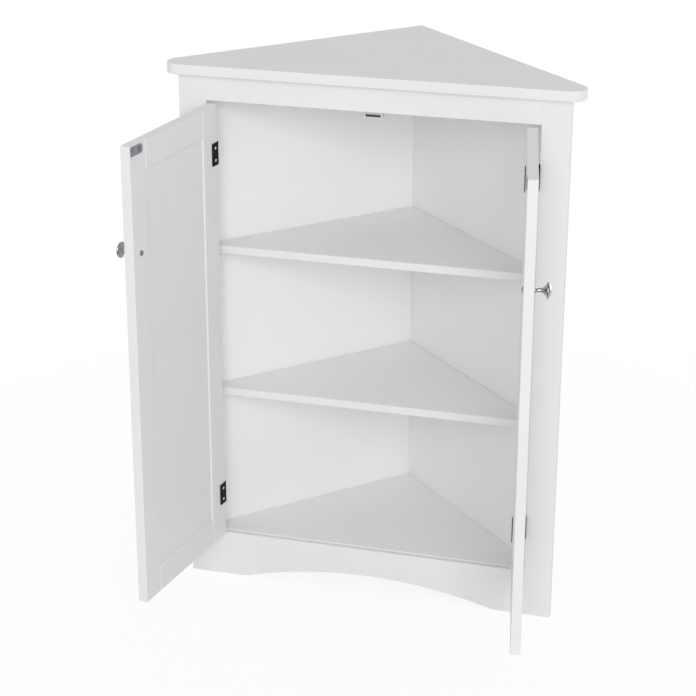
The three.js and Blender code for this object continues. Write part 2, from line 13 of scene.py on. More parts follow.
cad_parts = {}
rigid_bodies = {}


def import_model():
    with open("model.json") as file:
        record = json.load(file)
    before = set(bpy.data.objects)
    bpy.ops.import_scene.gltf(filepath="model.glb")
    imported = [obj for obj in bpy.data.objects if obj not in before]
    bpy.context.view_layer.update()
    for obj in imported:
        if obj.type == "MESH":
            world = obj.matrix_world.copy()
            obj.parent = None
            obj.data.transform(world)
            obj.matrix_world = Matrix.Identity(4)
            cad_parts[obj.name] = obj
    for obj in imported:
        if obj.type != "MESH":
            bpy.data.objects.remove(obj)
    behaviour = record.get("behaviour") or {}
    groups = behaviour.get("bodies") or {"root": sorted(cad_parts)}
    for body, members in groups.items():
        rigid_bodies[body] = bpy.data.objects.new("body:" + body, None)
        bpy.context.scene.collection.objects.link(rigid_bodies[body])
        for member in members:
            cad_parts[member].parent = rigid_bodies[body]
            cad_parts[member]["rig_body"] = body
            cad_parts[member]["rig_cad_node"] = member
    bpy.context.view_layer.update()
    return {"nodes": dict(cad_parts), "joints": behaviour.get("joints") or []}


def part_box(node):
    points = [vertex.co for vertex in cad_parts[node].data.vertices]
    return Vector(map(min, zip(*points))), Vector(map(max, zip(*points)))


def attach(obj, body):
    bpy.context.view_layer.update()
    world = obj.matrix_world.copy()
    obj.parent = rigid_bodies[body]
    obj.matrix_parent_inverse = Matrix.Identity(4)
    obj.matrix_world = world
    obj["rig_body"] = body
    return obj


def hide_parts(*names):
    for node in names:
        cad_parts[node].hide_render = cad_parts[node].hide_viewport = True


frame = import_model()
MM = 0.001

log = logging.getLogger("corner_cupboard")

Point = tuple[float, float]
Place = tuple[float, float, float]
Colour = tuple[float, float, float]
Test = Callable[[Vector], bool]
Piece = bpy.types.Object
Socket = bpy.types.NodeSocket
Owner = bpy.types.Material | bpy.types.World


class Easing(Enum):
    """How far the arrises of a board are rounded over, in metres."""

    CRISP = 0.00025
    SANDED = 0.0006
    SOFT = 0.0011
    AS_CUT = 0.0


class Side(Enum):
    """The side of the cupboard that a door hangs on. The value turns left-hand sizes into that side's."""

    LEFT = 1
    RIGHT = -1

    @property
    def word(self) -> str:
        """The side's name as the CAD nodes spell it."""
        return self.name.lower()

    @classmethod
    def of(cls, joint: dict[str, Any]) -> "Side":
        """The side of the door that a joint turns."""
        return cls[joint["name"].split("_")[0].upper()]


class Bench:
    """Modelling steps made with Blender's operators, each on one object and with nothing else selected.

    All its lengths are in metres. Points closer than MERGE are one point, edges shorter than SLIVER are taken
    out of a finished mesh, and CAD triangles that turn less than FLAT from each other are one face.
    """

    MERGE = 1e-6
    SLIVER = 2e-6
    FLAT = math.radians(0.4)

    @staticmethod
    def clear() -> None:
        """Leaves edit mode and deselects everything."""
        if bpy.context.mode != "OBJECT":
            bpy.ops.object.mode_set(mode="OBJECT")
        bpy.ops.object.select_all(action="DESELECT")

    @classmethod
    def take(cls, obj: Piece) -> Piece:
        """Makes an object the only selected one, and the active one.

        Args:
            obj: The object to work on.

        Returns:
            The same object.
        """
        cls.clear()
        obj.select_set(True)
        bpy.context.view_layer.objects.active = obj
        return obj

    @classmethod
    def edit(cls, obj: Piece, select: str = "SELECT", mode: str = "FACE") -> None:
        """Opens an object in edit mode.

        Args:
            obj: The object to open.
            select: SELECT or DESELECT, for everything in it.
            mode: VERT, EDGE or FACE.
        """
        cls.take(obj)
        bpy.ops.object.mode_set(mode="EDIT")
        bpy.ops.mesh.select_mode(type=mode)
        bpy.ops.mesh.select_all(action=select)

    @classmethod
    def choose(cls, obj: Piece, mode: str, wanted: Callable[[Any], bool]) -> None:
        """Opens an object in edit mode with only some of its vertices or edges selected.

        Args:
            obj: The object to open.
            mode: VERT or EDGE.
            wanted: Says of a vertex or an edge whether it is selected.
        """
        cls.edit(obj, "DESELECT", mode)
        bpy.ops.object.mode_set(mode="OBJECT")
        for item in obj.data.vertices if mode == "VERT" else obj.data.edges:
            item.select = wanted(item)
        bpy.ops.object.mode_set(mode="EDIT")

    @classmethod
    def chamfer(cls, obj: Piece, wanted: Callable[[Vector, Vector], bool], width: float, steps: int) -> None:
        """Bevels some of an object's edges.

        Args:
            obj: The object that is changed.
            wanted: Says from an edge's two ends whether it is bevelled.
            width: The bevel's offset, in metres.
            steps: Faces across it.
        """
        def both_ends(edge: bpy.types.MeshEdge) -> bool:
            """Whether an edge is wanted."""
            return wanted(*(obj.data.vertices[i].co for i in edge.vertices))

        cls.choose(obj, "EDGE", both_ends)
        bpy.ops.mesh.bevel(offset=width, offset_type="OFFSET", segments=steps, affect="EDGES")
        cls.clear()

    @classmethod
    def nudge(cls, obj: Piece, place: Matrix, wanted: Test, by: Vector) -> None:
        """Shifts some of an object's vertices, chosen and moved in the frame of what they belong to.

        Args:
            obj: The object that is changed.
            place: From that frame to the object's own.
            wanted: Says from a vertex's place in that frame whether it moves.
            by: The shift in that frame.
        """
        back = place.inverted()
        cls.choose(obj, "VERT", lambda vertex: wanted(back @ vertex.co))
        bpy.ops.transform.translate(value=place.to_3x3() @ by)
        cls.clear()

    @classmethod
    def apply(cls, obj: Piece, kind: str, **settings: Any) -> Piece:
        """Adds a modifier and applies it at once.

        Args:
            obj: The object that is changed.
            kind: The modifier's type.
            **settings: The modifier's own properties.

        Returns:
            The same object.
        """
        cls.take(obj)
        modifier = obj.modifiers.new(kind.lower(), kind)
        for key, value in settings.items():
            setattr(modifier, key, value)
        bpy.ops.object.modifier_apply(modifier=modifier.name)
        return obj

    @classmethod
    def clean(cls, obj: Piece) -> None:
        """Merges an object's doubled vertices and takes out its slivers.

        Args:
            obj: The object that is cleaned.
        """
        cls.edit(obj)
        bpy.ops.mesh.remove_doubles(threshold=cls.SLIVER)
        bpy.ops.mesh.dissolve_degenerate(threshold=cls.SLIVER)
        cls.clear()

    @classmethod
    def ease(cls, obj: Piece, radius: float, steps: int = 3, angle: float = 35.0) -> Piece:
        """Rounds over an object's sharp edges and gives it a clean mesh and shading.

        Args:
            obj: The object that is finished.
            radius: Width of the rounding in metres, or zero for none.
            steps: Faces across each rounding.
            angle: Least turn, in degrees, of an edge that counts as sharp.

        Returns:
            The same object.
        """
        sharp = math.radians(angle)
        if radius > 0:
            cls.apply(obj, "BEVEL", width=radius, segments=steps, limit_method="ANGLE", angle_limit=sharp,
                      use_clamp_overlap=True)
        cls.clean(obj)
        cls.take(obj)
        bpy.ops.object.shade_smooth_by_angle(angle=sharp)
        return cls.apply(obj, "WEIGHTED_NORMAL", keep_sharp=True)

    @classmethod
    def copy_of(cls, node: str, name: str) -> Piece:
        """A clean copy of a CAD node: merged, with its flat faces whole.

        Args:
            node: The CAD node.
            name: The copy's name.

        Returns:
            The copy, which rides on nothing yet.
        """
        cls.take(frame["nodes"][node])
        bpy.ops.object.duplicate()
        obj = bpy.context.active_object
        obj.parent = None
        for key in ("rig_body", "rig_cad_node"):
            del obj[key]
        obj.name = obj.data.name = name
        obj.data.materials.clear()
        cls.edit(obj)
        bpy.ops.mesh.remove_doubles(threshold=cls.MERGE)
        bpy.ops.mesh.customdata_custom_splitnormals_clear()
        bpy.ops.mesh.dissolve_limited(angle_limit=cls.FLAT)
        cls.clear()
        return obj

    @classmethod
    def line(cls, name: str, points: Sequence[Vector]) -> Piece:
        """A string of edges, extruded from one vertex to the next.

        Args:
            name: The object's name.
            points: The vertices in order.

        Returns:
            The object, left in edit mode with its last vertex selected.
        """
        cls.clear()
        bpy.ops.mesh.primitive_plane_add(size=MM, location=(0, 0, 0))
        obj = bpy.context.active_object
        obj.name = obj.data.name = name
        cls.edit(obj, mode="VERT")
        bpy.ops.mesh.merge(type="CENTER")
        bpy.ops.transform.translate(value=points[0])
        for before, after in zip(points, points[1:]):
            bpy.ops.mesh.extrude_region_move(TRANSFORM_OT_translate={"value": after - before})
        return obj

    @classmethod
    def prism(cls, name: str, outline: Sequence[Point], bottom: float, top: float) -> Piece:
        """A plan outline filled and extruded upwards.

        Args:
            name: The object's name.
            outline: The outline's corners, in X and Y.
            bottom: Height of its lower face.
            top: Height of its upper face.

        Returns:
            The closed solid.
        """
        obj = cls.line(name, [Vector((x, y, bottom)) for x, y in outline])
        bpy.ops.mesh.select_all(action="SELECT")
        bpy.ops.mesh.edge_face_add()
        bpy.ops.mesh.extrude_region_move(TRANSFORM_OT_translate={"value": (0, 0, top - bottom)})
        bpy.ops.mesh.select_all(action="SELECT")
        bpy.ops.mesh.normals_make_consistent(inside=False)
        cls.clear()
        return obj

    @classmethod
    def spun(cls, name: str, profile: Sequence[Point], steps: int, closed: bool = False) -> Piece:
        """A profile turned once round the Z axis.

        Args:
            name: The object's name.
            profile: Pairs of radius and height.
            steps: Facets round the axis.
            closed: Whether the profile is a ring that keeps clear of the axis.

        Returns:
            The closed solid.
        """
        obj = cls.line(name, [Vector((r, 0, z)) for r, z in profile])
        if closed:
            cls.choose(obj, "VERT", lambda vertex: vertex.index in (0, len(profile) - 1))
            bpy.ops.mesh.edge_face_add()
        bpy.ops.mesh.select_all(action="SELECT")
        bpy.ops.mesh.spin(steps=steps, angle=2 * math.pi, center=(0, 0, 0), axis=(0, 0, 1))
        bpy.ops.mesh.select_all(action="SELECT")
        bpy.ops.mesh.remove_doubles(threshold=cls.MERGE)
        bpy.ops.mesh.normals_make_consistent(inside=False)
        cls.clear()
        return obj

    @classmethod
    def block(cls, name: str, low: Sequence[float], high: Sequence[float]) -> Piece:
        """A cube stretched between two corners, to be shaped further.

        Args:
            name: The object's name.
            low: The corner with the least coordinates.
            high: The corner with the greatest.

        Returns:
            The closed solid.
        """
        cls.clear()
        size = [b - a for a, b in zip(low, high)]
        middle = [(a + b) / 2 for a, b in zip(low, high)]
        bpy.ops.mesh.primitive_cube_add(size=1, location=middle, scale=size)
        obj = bpy.context.active_object
        obj.name = obj.data.name = name
        bpy.ops.object.transform_apply(location=True, rotation=True, scale=True)
        return obj

    @classmethod
    def join(cls, name: str, parts: Sequence[Piece]) -> Piece:
        """Several objects made one.

        Args:
            name: The name of the whole.
            parts: The objects, of which the first takes in the others.

        Returns:
            The first object.
        """
        cls.take(parts[0])
        for part in parts[1:]:
            part.select_set(True)
        bpy.ops.object.join()
        parts[0].name = parts[0].data.name = name
        return parts[0]

    @classmethod
    def cut(cls, obj: Piece, cutter: Piece) -> None:
        """Cuts a solid out of another, and deletes it.

        Args:
            obj: The solid that is kept.
            cutter: The solid that is cut out of it.
        """
        cls.apply(obj, "BOOLEAN", object=cutter, operation="DIFFERENCE", solver="EXACT")
        bpy.data.objects.remove(cutter)
        cls.clean(obj)

    @classmethod
    def place(cls, obj: Piece, matrix: Matrix) -> Piece:
        """Moves an object's mesh to its place and leaves the object at the origin.

        Args:
            obj: The object that is placed.
            matrix: Where it goes. A mirror in it keeps the faces pointing outwards.

        Returns:
            The same object.
        """
        cls.take(obj)
        obj.matrix_world = matrix
        bpy.ops.object.transform_apply(location=True, rotation=True, scale=True)
        if matrix.determinant() < 0:
            cls.edit(obj)
            bpy.ops.mesh.normals_make_consistent(inside=False)
            cls.clear()
        return obj

    @staticmethod
    def discard(*masters: Piece) -> None:
        """Deletes masters whose copies are made."""
        for master in masters:
            bpy.data.objects.remove(master)

    @classmethod
    def repeat(cls, master: Piece, name: str, matrix: Matrix) -> Piece:
        """A placed copy of a finished master, with its own mesh.

        Args:
            master: The object that is copied.
            name: The copy's name.
            matrix: Where the copy goes.

        Returns:
            The copy.
        """
        cls.take(master)
        bpy.ops.object.duplicate()
        obj = bpy.context.active_object
        obj.name = obj.data.name = name
        return cls.place(obj, matrix)


def arc(centre: Point, radius: float, start: float, end: float, steps: int) -> list[Point]:
    """Points along an arc.

    Args:
        centre: The arc's centre.
        radius: The arc's radius.
        start: Angle of the first point, in degrees.
        end: Angle of the last point, in degrees.
        steps: Chords along the arc.

    Returns:
        The points from start to end.
    """
    angles = [math.radians(start + (end - start) * i / steps) for i in range(steps + 1)]
    return [(centre[0] + radius * math.cos(a), centre[1] + radius * math.sin(a)) for a in angles]


def crown(shoulder: Point, top: float, steps: int) -> list[Point]:
    """The profile of a shallow dome.

    Args:
        shoulder: Radius and height where the dome starts.
        top: Its height on the axis.
        steps: Chords across it.

    Returns:
        The points from the shoulder to the axis.
    """
    radius, level = shoulder
    rise = top - level
    dome = (radius ** 2 + rise ** 2) / (2 * rise)
    slope = math.degrees(math.asin(radius / dome))
    return [*arc((0, top - dome), dome, 90 - slope, 90, steps)[:-1], (0, top)]


def spindle(tip: Sequence[Point], end: float) -> list[Point]:
    """The profile of a pin with two like ends, from that of its upper tip and the height of its end."""
    return [(0, -end), *[(r, -z) for r, z in reversed(tip)], *tip, (0, end)]


def in_metres(points: Iterable[Point]) -> list[Point]:
    """Pairs of millimetres as pairs of metres."""
    return [(x * MM, y * MM) for x, y in points]


def facing(at: Vector, outward: Vector, level: float = 0.9) -> Matrix:
    """The place of a fitting on a face.

    Args:
        at: A point on the face.
        outward: The face's normal, which the fitting's Z axis takes.
        level: The normal's upright share from which the face counts as lying flat.

    Returns:
        A turn and a shift, with the fitting's Y axis as near upright as the face allows.
    """
    back = outward.normalized()
    up = Vector((0, 0, 1)) if abs(back.z) < level else Vector((0, 1, 0))
    right = up.cross(back).normalized()
    turn = Matrix((right, back.cross(right), back)).transposed().to_4x4()
    return Matrix.Translation(at) @ turn


def swing(joint: dict[str, Any], on_door: bool) -> Matrix:
    """From left-hand sizes, measured from a door's pin with the door shut, to the open door.

    Args:
        joint: The door's joint.
        on_door: Whether the place turns with the door, or stays with the frame.

    Returns:
        The place in the row frame. It mirrors on the right.
    """
    mirror = Matrix.Diagonal((Side.of(joint).value, 1, 1, 1))
    stand = Matrix.Translation(Vector(joint["pos_m"]))
    if not on_door:
        return stand @ mirror
    opened = -math.radians(joint["range_deg"][1]) * joint["axis"][2]
    return stand @ Matrix.Rotation(opened, 4, "Z") @ mirror


def opaque(red: float, green: float, blue: float) -> tuple[float, float, float, float]:
    """A colour as a socket takes it."""
    return red, green, blue, 1.0


class Signal:
    """A value in a node tree, with arithmetic."""

    def __init__(self, tree: "Tree", socket: Socket) -> None:
        """Wraps an output socket of a tree."""
        self.tree = tree
        self.socket = socket

    def _with(self, operation: str, *values: "Signal | float") -> "Signal":
        """This tree's Math node for an operation, with its inputs in order."""
        node = self.tree.node("ShaderNodeMath", {"operation": operation}, dict(enumerate(values)))
        return Signal(self.tree, node.outputs[0])

    def __add__(self, other: "Signal | float") -> "Signal":
        """The sum."""
        return self._with("ADD", self, other)

    __radd__ = __add__

    def __sub__(self, other: "Signal | float") -> "Signal":
        """The difference."""
        return self._with("SUBTRACT", self, other)

    def __rsub__(self, other: "Signal | float") -> "Signal":
        """The difference, the other way round."""
        return self._with("SUBTRACT", other, self)

    def __mul__(self, other: "Signal | float") -> "Signal":
        """The product."""
        return self._with("MULTIPLY", self, other)

    __rmul__ = __mul__

    def most(self, other: "Signal | float") -> "Signal":
        """The larger of two values."""
        return self._with("MAXIMUM", self, other)

    def step(self, low: float, high: float) -> "Signal":
        """Zero below one value, one above another, and smooth between them.

        Args:
            low: Where the step starts.
            high: Where the step ends.

        Returns:
            The stepped value.
        """
        node = self.tree.node(
            "ShaderNodeMapRange", {"interpolation_type": "SMOOTHSTEP"},
            {"Value": self, "From Min": low, "From Max": high, "To Min": 0.0, "To Max": 1.0},
        )
        return Signal(self.tree, node.outputs["Result"])


@dataclass(frozen=True)
class Grain:
    """A noise in a finish.

    Attributes:
        waves: Its waves to a metre.
        layers: Finer layers added to it.
        weight: How much the finer layers count.
        stretch: How much closer its waves stand along each axis.
        dulling: How much it changes the roughness.
    """

    waves: float
    layers: float = 2.0
    weight: float = 0.5
    stretch: Place = (1.0, 1.0, 1.0)
    dulling: float = 0.0


class Tree:
    """The node tree of a material or a world, built node by node.

    The Mix node's colour sockets share their names with others, so they go by number.
    """

    FACTOR, FIRST, SECOND, MIXED = 0, 6, 7, 2
    NOISE_MIDDLE = 0.5

    def __init__(self, owner: Owner, use: str = "Material") -> None:
        """Starts the owner's tree with only its output node, for a Material or a World.

        Args:
            owner: The material or world.
            use: Material or World, for the output node.
        """
        owner.use_nodes = True
        self.owner = owner
        self.nodes, self.links = owner.node_tree.nodes, owner.node_tree.links
        self.nodes.clear()
        self.output = self.node(f"ShaderNodeOutput{use}")

    def node(self, kind: str, settings: dict[str, Any] | None = None,
             inputs: dict[Any, Any] | None = None) -> bpy.types.Node:
        """Adds a node, sets it, and then fills or links its sockets.

        Args:
            kind: The node's type.
            settings: Its own properties.
            inputs: Values, signals or sockets by the input's name or number.

        Returns:
            The node.
        """
        made = self.nodes.new(kind)
        for key, value in (settings or {}).items():
            setattr(made, key, value)
        for key, value in (inputs or {}).items():
            source = value.socket if isinstance(value, Signal) else value
            if isinstance(source, Socket):
                self.links.new(source, made.inputs[key])
            else:
                made.inputs[key].default_value = source
        return made

    def place(self, stretch: Place = (1.0, 1.0, 1.0)) -> Socket:
        """The object's own coordinates, stretched along its axes."""
        own = self.node("ShaderNodeTexCoord").outputs["Object"]
        return self.node("ShaderNodeMapping", {}, {"Vector": own, "Scale": stretch}).outputs["Vector"]

    def noise(self, grain: Grain) -> Signal:
        """Smooth noise about zero.

        Args:
            grain: The noise's own sizes.

        Returns:
            The noise.
        """
        node = self.node("ShaderNodeTexNoise", {}, {
            "Vector": self.place(grain.stretch), "Scale": grain.waves,
            "Detail": grain.layers, "Roughness": grain.weight,
        })
        return Signal(self, node.outputs[0]) - self.NOISE_MIDDLE

    def blend(self, amount: Signal, first: Colour, second: Colour) -> Socket:
        """A colour that goes from the first to the second as an amount goes from zero to one."""
        inputs = {self.FACTOR: amount, self.FIRST: opaque(*first), self.SECOND: opaque(*second)}
        return self.node("ShaderNodeMix", {"data_type": "RGBA"}, inputs).outputs[self.MIXED]

    def bump(self, height: Signal, distance: float, strength: float) -> Socket:
        """A normal tilted by a height, which a distance in metres stretches."""
        node = self.node("ShaderNodeBump", {}, {"Height": height, "Distance": distance, "Strength": strength})
        return node.outputs["Normal"]

    def seen(self) -> Signal:
        """One for rays of the camera, a mirror or a glass, and zero for those that carry light.

        Returns:
            The value.
        """
        path = self.node("ShaderNodeLightPath")
        looks = ("Is Camera Ray", "Is Glossy Ray", "Is Transmission Ray")
        seen, *others = (Signal(self, path.outputs[look]) for look in looks)
        for other in others:
            seen = seen.most(other)
        return seen

    def flat(self, kind: str, colour: Colour, **inputs: float) -> bpy.types.Node:
        """A plain shader of one colour, such as BsdfDiffuse, and its other inputs."""
        return self.node(f"ShaderNode{kind}", {}, {"Color": opaque(*colour), **inputs})

    def mix(self, amount: Signal, first: bpy.types.Node, second: bpy.types.Node) -> bpy.types.Node:
        """The first shader where an amount is zero, and the second where it is one."""
        return self.node("ShaderNodeMixShader", {}, {0: amount, 1: first.outputs[0], 2: second.outputs[0]})

    def end(self, shader: bpy.types.Node) -> Owner:
        """Ends the tree in a shader and hands its owner over."""
        self.links.new(shader.outputs[0], self.output.inputs["Surface"])
        return self.owner

    def surface(self, **inputs: Any) -> bpy.types.Material:
        """Ends the tree in a principled shader. Its inputs have underscores for the spaces in their names."""
        named = {key.replace("_", " "): value for key, value in inputs.items()}
        return self.end(self.node("ShaderNodeBsdfPrincipled", {}, named))


@dataclass(frozen=True)
class Coat:
    """What all the finishes share: a clouded colour, a broken gloss and a fine relief.

    Attributes:
        name: The material's name.
        colour: Its colour.
        gloss_break: Its roughness.
        relief: Height of its relief, in metres.
        texture: Strength of its grain and its shades.
        cloud: The slow noise behind its shades.
        patch: Values of the cloud between which the shade changes.
        shades: What the cloud's low and high places add to the colour, as shares of it.
        grain: The fine noise of its surface.
        bite: Strength of its bump.
        optics: The shader's inputs that are the same all over.
    """

    name: str
    colour: Colour
    gloss_break: float
    relief: float
    texture: float = 1.0
    cloud: ClassVar[Grain]
    patch: ClassVar[Point]
    shades: ClassVar[Point]
    grain: ClassVar[Grain]
    bite: ClassVar[float] = 0.5
    optics: ClassVar[dict[str, float]] = {}

    def height(self, tree: Tree, grain: Signal) -> Signal:
        """The shape of the relief, which is the grain's own here."""
        return grain

    def material(self) -> bpy.types.Material:
        """Builds the finish's material.

        Returns:
            The material.
        """
        tree = Tree(bpy.data.materials.new(self.name))
        cloud, grain = tree.noise(self.cloud), tree.noise(self.grain)
        low, high = (tuple(c * (1 + shade * self.texture) for c in self.colour) for shade in self.shades)
        roughness = grain * (self.grain.dulling * self.texture) + self.gloss_break
        if self.cloud.dulling:
            roughness = cloud * self.cloud.dulling + roughness
        return tree.surface(
            Base_Color=tree.blend(cloud.step(*self.patch), low, high), Roughness=roughness,
            Normal=tree.bump(self.height(tree, grain), self.relief * self.texture, self.bite), **self.optics,
        )


@dataclass(frozen=True)
class Paint(Coat):
    """White satin paint, sprayed on board and faintly orange-peeled.

    Attributes:
        peel: The noise of the orange peel.
        peel_share: Its share of the relief, beside the board's fibres.
    """

    gloss_break: float = 0.5
    relief: float = 0.00003
    cloud: ClassVar[Grain] = Grain(5.0, 3.0, dulling=0.08)
    patch: ClassVar[Point] = (-0.15, 0.15)
    shades: ClassVar[Point] = (-0.015, 0.0)
    grain: ClassVar[Grain] = Grain(420.0, 3.0, 0.6, (1.0, 1.0, 0.25), 0.05)
    peel: ClassVar[Grain] = Grain(330.0)
    peel_share: ClassVar[float] = 0.75
    bite: ClassVar[float] = 0.6
    optics: ClassVar[dict[str, float]] = {"IOR": 1.46, "Specular_IOR_Level": 0.25}

    def height(self, tree: Tree, grain: Signal) -> Signal:
        """Orange peel over the board's fibres."""
        return tree.noise(self.peel) * self.peel_share + grain * (1 - self.peel_share)


@dataclass(frozen=True)
class Blacking(Coat):
    """Black baked coating on pressed steel, with a fine grain and rubbed places."""

    colour: Colour = (0.003, 0.003, 0.0034)
    gloss_break: float = 0.46
    relief: float = 0.00004
    cloud: ClassVar[Grain] = Grain(160.0, 3.0, dulling=0.12)
    patch: ClassVar[Point] = (0.05, 0.3)
    shades: ClassVar[Point] = (0.0, 1.4)
    grain: ClassVar[Grain] = Grain(2600.0, dulling=0.16)
    optics: ClassVar[dict[str, float]] = {"IOR": 1.22, "Specular_IOR_Level": 0.3}


@dataclass(frozen=True)
class Plating(Coat):
    """Polished or dull plated metal, whose texture runs in streaks."""

    relief: float = 0.000006
    cloud: ClassVar[Grain] = Grain(90.0, dulling=0.03)
    patch: ClassVar[Point] = (-0.1, 0.2)
    shades: ClassVar[Point] = (0.0, -0.25)
    grain: ClassVar[Grain] = Grain(260.0, 3.0, 0.6, (1.0, 1.0, 14.0), 0.3)
    optics: ClassVar[dict[str, float]] = {"Metallic": 1.0}


@dataclass(frozen=True)
class Moulding(Coat):
    """Moulded plastic or pressed ferrite, with the grain of its mould."""

    cloud: ClassVar[Grain] = Grain(60.0)
    patch: ClassVar[Point] = (-0.2, 0.2)
    shades: ClassVar[Point] = (-0.05, 0.0)
    grain: ClassVar[Grain] = Grain(1800.0, dulling=0.12)


class Finish(Enum):
    """Every finish on the cupboard."""

    ENAMEL = Paint("satin_enamel", (0.822, 0.822, 0.832))
    # The outer white enamel again, written lighter as painted light: it brightens the boards inside, which
    # the lamps leave in shade.
    INNER_ENAMEL = Paint("inner_enamel", (0.9, 0.895, 0.905), 0.52, 0.00002)
    BLACK = Blacking("black_hinge_coat")
    CHROME = Plating("polished_chrome", (0.46, 0.46, 0.475), 0.05, texture=0.0)
    ZINC = Plating("zinc_plate", (0.42, 0.42, 0.44), 0.34)
    NICKEL = Plating("dull_nickel", (0.76, 0.76, 0.75), 0.3, texture=0.3)
    PLASTIC = Moulding("white_moulding", (0.78, 0.78, 0.79), 0.45, 0.00002)
    FERRITE = Moulding("pressed_ferrite", (0.018, 0.018, 0.02), 0.6, 0.00005)

    def on(self, obj: Piece) -> Piece:
        """Puts the finish on an object, in place of what it has.

        Args:
            obj: The object.

        Returns:
            The same object.
        """
        material = bpy.data.materials.get(self.value.name) or self.value.material()
        obj.data.materials.clear()
        obj.data.materials.append(material)
        return obj


def fit(obj: Piece, body: str, finish: Finish, *nodes: str) -> Piece:
    """Finishes a piece, hangs it on its body and lets it stand for CAD nodes.

    Args:
        obj: The piece, in place.
        body: The body it rides on.
        finish: What it is finished in.
        *nodes: The CAD nodes it stands for.

    Returns:
        The same piece.
    """
    finish.on(obj)
    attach(obj, body)
    if nodes:
        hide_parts(*nodes)
    log.info("%s on %s, %d faces", obj.name, body, len(obj.data.polygons))
    return obj


def dressed(node: str, body: str, radius: float, finish: Finish, manner: str = "painted") -> Piece:
    """A CAD node's own shape with its arrises rounded over.

    Args:
        node: The CAD node.
        body: The body it rides on.
        radius: Width of the rounding, in metres.
        finish: What it is finished in.
        manner: How it is made, which ends its name.

    Returns:
        The piece.
    """
    obj = Bench.copy_of(node, f"{node}_{manner}")
    return fit(Bench.ease(obj, radius), body, finish, node)


@dataclass
class Screw:
    """A cross-headed screw of which only the head shows. Its sizes are in millimetres.

    Attributes:
        head_radius: The head's radius.
        head_height: How far the head stands proud.
        edge_height: Height of the head's rim.
        shank: Radius and length of the shank.
        recess: Radius of the cross recess.
        cone: How deep a countersunk head tapers to the shank, or zero for a flat seat.
        tip: Radius of the shank's end, as a share of the shank's.
        recess_depth: Depth of the cross recess, as a share of the head's.
        blade: Half width of its arms, as a share of their reach.
        over: How far its cutter stands over the head.
        steps: Facets round the axis.
        crown_steps: Chords across the head.
        crease: Least turn, in degrees, of an edge that stays sharp.
    """

    head_radius: float
    head_height: float
    edge_height: float
    shank: Point
    recess: float
    cone: float = 0.0
    tip: float = 0.4
    recess_depth: float = 0.55
    blade: float = 0.3
    over: float = 1.0
    steps: int = 32
    crown_steps: int = 7
    crease: float = 40.0

    def build(self, name: str) -> Piece:
        """Models the screw upright, with the seat of its head at the origin.

        Args:
            name: The screw's name.

        Returns:
            The screw.
        """
        thin, length = self.shank
        wide, top = self.head_radius, self.head_height
        profile = [(0, -length), (thin * self.tip, -length), (thin, -length + thin), (thin, -self.cone),
                   (wide, 0), *crown((wide, self.edge_height), top, self.crown_steps)]
        obj = Bench.spun(name, in_metres(profile), self.steps)
        narrow = self.recess * self.blade
        for x, y in ((self.recess, narrow), (narrow, self.recess)):
            low = Vector((-x, -y, top - (top + self.cone) * self.recess_depth))
            Bench.cut(obj, Bench.block("blade", low * MM, Vector((x, y, top + self.over)) * MM))
        return Bench.ease(obj, 0, angle=self.crease)


@dataclass
class Knob:
    """A turned knob with a thin stem, a flare and a shallow dome. Its sizes are in millimetres.

    Attributes:
        reach: How far it stands off the door.
        radius: Its largest radius.
        rim: Radius of its rounded rim.
        rim_height: Height of the rim's middle.
        rim_arc: Angles at which the rim starts and ends.
        stem: The stem's radius.
        flare_start: Height at which the flare leaves the stem.
        flare_curve: How late it opens.
        hollow: Radius and depth of the hole for the screw.
        foot: Radius and height along the turned foot.
        steps: Facets round the axis.
        rim_steps: Chords round the rim.
        flare_steps: Chords along the flare.
        crown_steps: Chords across the dome.
        crease: Least turn, in degrees, of an edge that stays sharp.
    """

    reach: float = 22.0
    radius: float = 11.2
    rim: float = 1.2
    rim_height: float = 16.7
    rim_arc: Point = (-70, 46)
    stem: float = 2.7
    flare_start: float = 7.3
    flare_curve: float = 2.2
    hollow: Point = (2.3, 10.0)
    foot: tuple[Point, ...] = ((4.3, 0), (4.7, 0.35), (4.7, 0.9), (4.3, 1.2), (3.1, 1.9), (2.7, 2.8))
    steps: int = 64
    rim_steps: int = 9
    flare_steps: int = 14
    crown_steps: int = 12
    crease: float = 28.0

    def build(self, name: str) -> Piece:
        """Turns the knob upright, with its foot at the origin.

        Args:
            name: The knob's name.

        Returns:
            The knob.
        """
        rim = arc((self.radius - self.rim, self.rim_height), self.rim, *self.rim_arc, self.rim_steps)
        wide, high = rim[0]
        rises = [i / self.flare_steps for i in range(self.flare_steps)]
        flare = [(self.stem + (wide - self.stem) * rise ** self.flare_curve,
                  self.flare_start + (high - self.flare_start) * rise) for rise in rises]
        bore, deep = self.hollow
        profile = [(0, deep), (bore, deep), (bore, 0), *self.foot, *flare, *rim,
                   *crown(rim[-1], self.reach, self.crown_steps)[1:]]
        return Bench.ease(Bench.spun(name, in_metres(profile), self.steps), 0, angle=self.crease)


